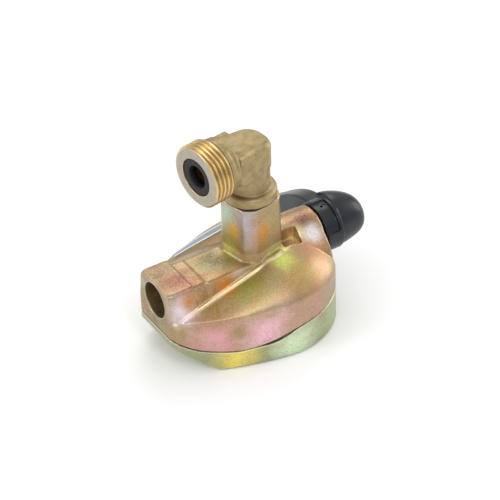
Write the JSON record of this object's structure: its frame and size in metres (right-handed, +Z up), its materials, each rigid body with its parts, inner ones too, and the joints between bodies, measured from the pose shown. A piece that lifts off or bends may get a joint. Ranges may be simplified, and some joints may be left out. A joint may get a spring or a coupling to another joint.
{
  "type": "clip-on gas cylinder adaptor",
  "caption": "Cast clip-on valve adaptor with a lever knob that opens the gas and locks the socket, a turned elbow outlet and a side port.",
  "frame": {"origin": "on the axis of the valve socket, in the plane of the bottom face", "axes": "+Z up along the socket axis, +X to the side port, the knob at -X"},
  "size_m": [0.0746, 0.0539, 0.0743],
  "materials": {
    "zinc_passivated": "yellow chromate passivated zinc die casting, semi-gloss",
    "brass_forged": "matte blasted forging with machined thread",
    "brass_turned": "turned, satin",
    "plastic_black": "satin black",
    "rubber_black": "matte",
    "steel_plated": "zinc plated",
    "steel_spring": "drawn wire",
    "label_foil": "brushed foil, blank"
  },
  "bodies": {
    "housing": {"upper_body": "zinc_passivated", "lower_body": "zinc_passivated", "body_screws": "steel_plated", "plunger_guide": "brass_turned", "guide_o_ring": "rubber_black", "socket_seal": "rubber_black", "plunger_spring": "steel_spring", "plunger_o_ring": "rubber_black", "spindle_bush": "brass_turned", "outlet_elbow": "brass_forged", "outlet_seal": "rubber_black", "elbow_gasket": "rubber_black", "spigot_o_ring": "rubber_black", "rating_label": "label_foil"},
    "knob_shaft": {"control_knob": "plastic_black", "grub_screw": "steel_plated", "spindle": "steel_plated", "spindle_o_rings": "rubber_black", "retaining_clip": "steel_spring", "lift_cam": "steel_plated", "lock_cam": "steel_plated", "cam_pins": "steel_plated"},
    "plunger": {"plunger": "brass_turned", "tip_seal": "rubber_black"},
    "lock_plate": {"lock_plate": "steel_plated"}
  },
  "joints": [
    {"name": "knob_turn", "type": "hinge", "parent": "housing", "child": "knob_shaft", "pos_m": [-0.02, 0, 0.0244], "axis": [-1, 0, 0], "range_deg": [0, 90]},
    {"name": "plunger_lift", "type": "slide", "parent": "housing", "child": "plunger", "axis": [0, 0, -1], "range_m": [0, 0.0024], "deforming": ["plunger_spring"]},
    {"name": "lock_slide", "type": "slide", "parent": "housing", "child": "lock_plate", "axis": [0, 1, 0], "range_m": [0, 0.0022]}
  ],
  "couplings": [
    {"joint": "knob_turn", "follows": "plunger_lift", "rad_per_m": 654.5},
    {"joint": "lock_slide", "follows": "plunger_lift", "ratio": 0.91667}
  ]
}
